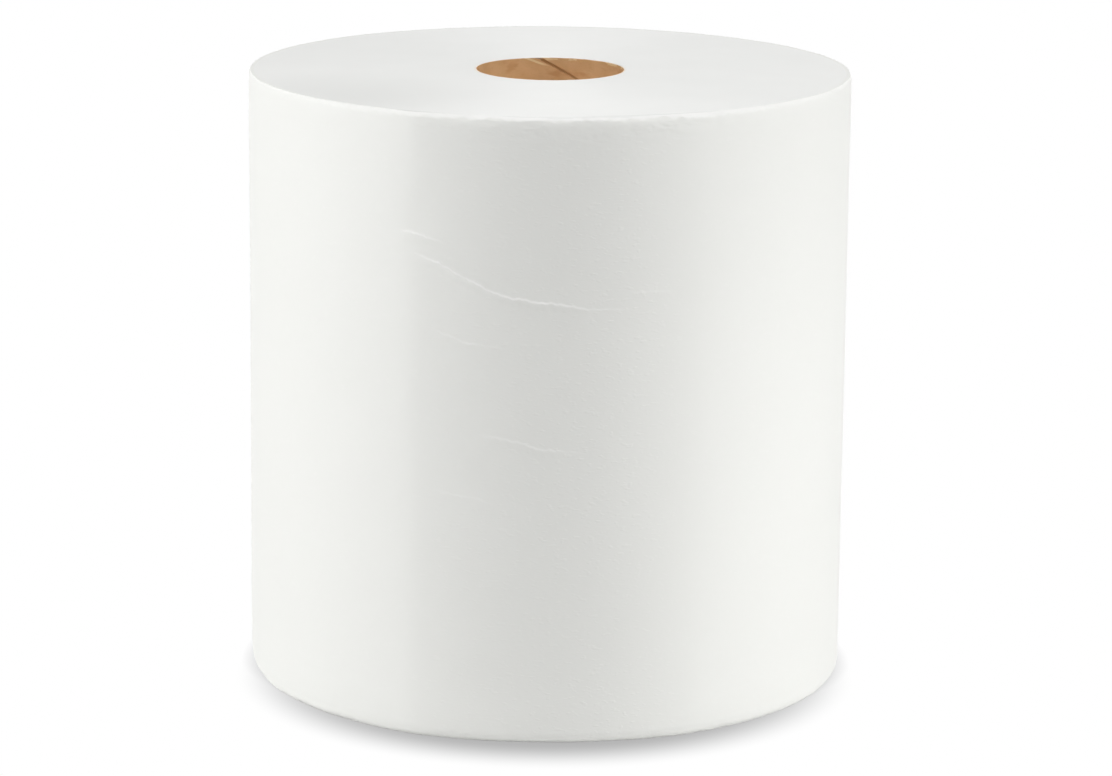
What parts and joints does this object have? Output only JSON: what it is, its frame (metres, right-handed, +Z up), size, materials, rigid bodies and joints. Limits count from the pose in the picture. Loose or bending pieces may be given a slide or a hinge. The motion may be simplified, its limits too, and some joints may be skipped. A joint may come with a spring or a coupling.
{
  "type": "paper towel roll",
  "caption": "Hard-wound white paper towel roll on a kraft board core, standing on one end.",
  "frame": {"origin": "centre of the base, where the core's axis meets the surface that the roll stands on", "axes": "+Z up the core's axis, -Y towards the front; the free end of the paper is at the back, on the +Y side"},
  "size_m": [0.2001, 0.2003, 0.2032],
  "materials": {
    "towel_paper": "soft matte crepe",
    "core_board": "plain kraft board"
  },
  "bodies": {
    "root": {"paper_roll": "towel_paper", "board_core": "core_board"}
  },
  "joints": []
}
